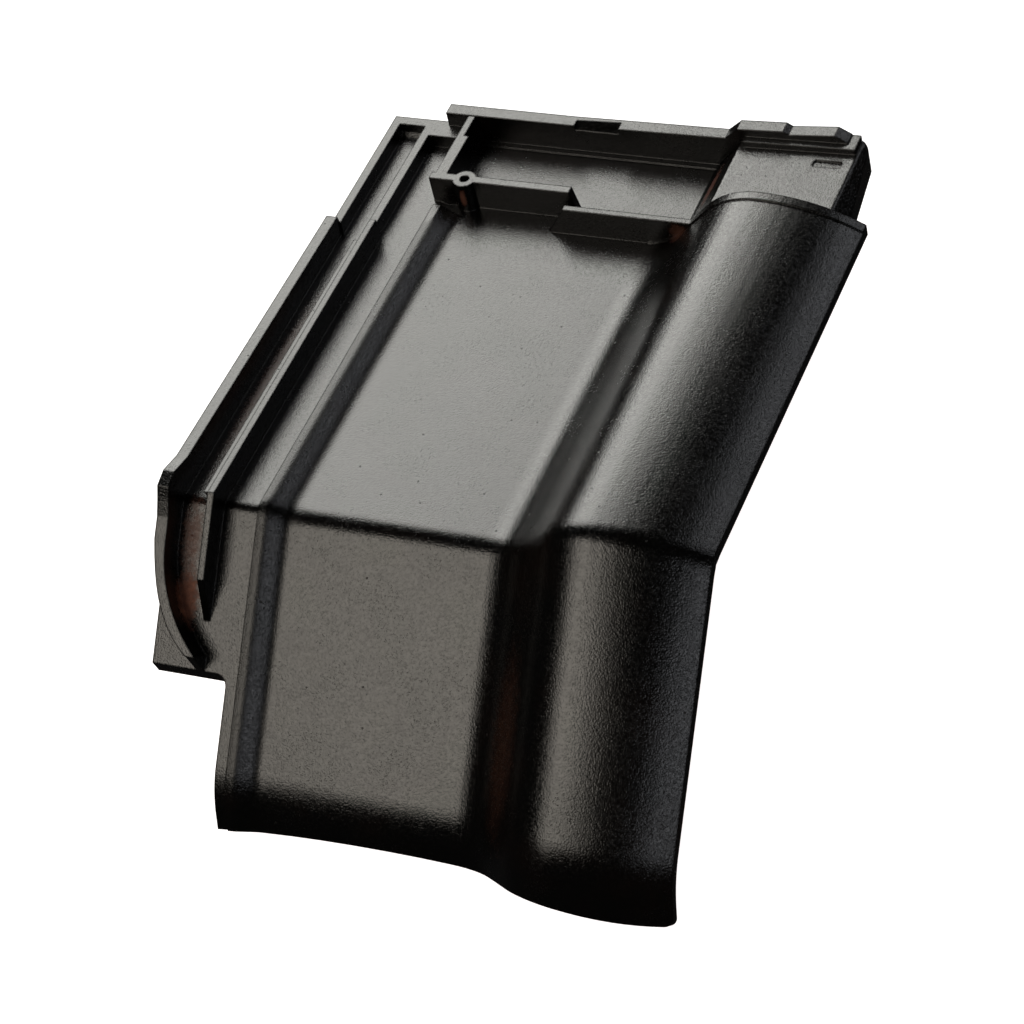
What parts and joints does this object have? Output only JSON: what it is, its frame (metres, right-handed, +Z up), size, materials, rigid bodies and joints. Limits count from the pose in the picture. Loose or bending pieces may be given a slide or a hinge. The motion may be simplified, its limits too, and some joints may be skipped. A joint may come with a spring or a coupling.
{
  "type": "interlocking roof tile",
  "caption": "Glazed clay interlocking roof tile, bent across its width to carry the covering over a break between two slopes, with side lock, head pan and roll.",
  "frame": {"origin": "middle of the tile's outline, on the floor it lies on", "axes": "+X across the tile from the side lock to the roll, +Y from the foot towards the head, +Z up as it lies on its nibs and foot edge"},
  "size_m": [0.3012, 0.4566, 0.1427],
  "materials": {
    "glazed_clay": "glossy black glaze over fired clay, bare in the channels"
  },
  "bodies": {
    "root": {"roof_tile": "glazed_clay"}
  },
  "joints": []
}
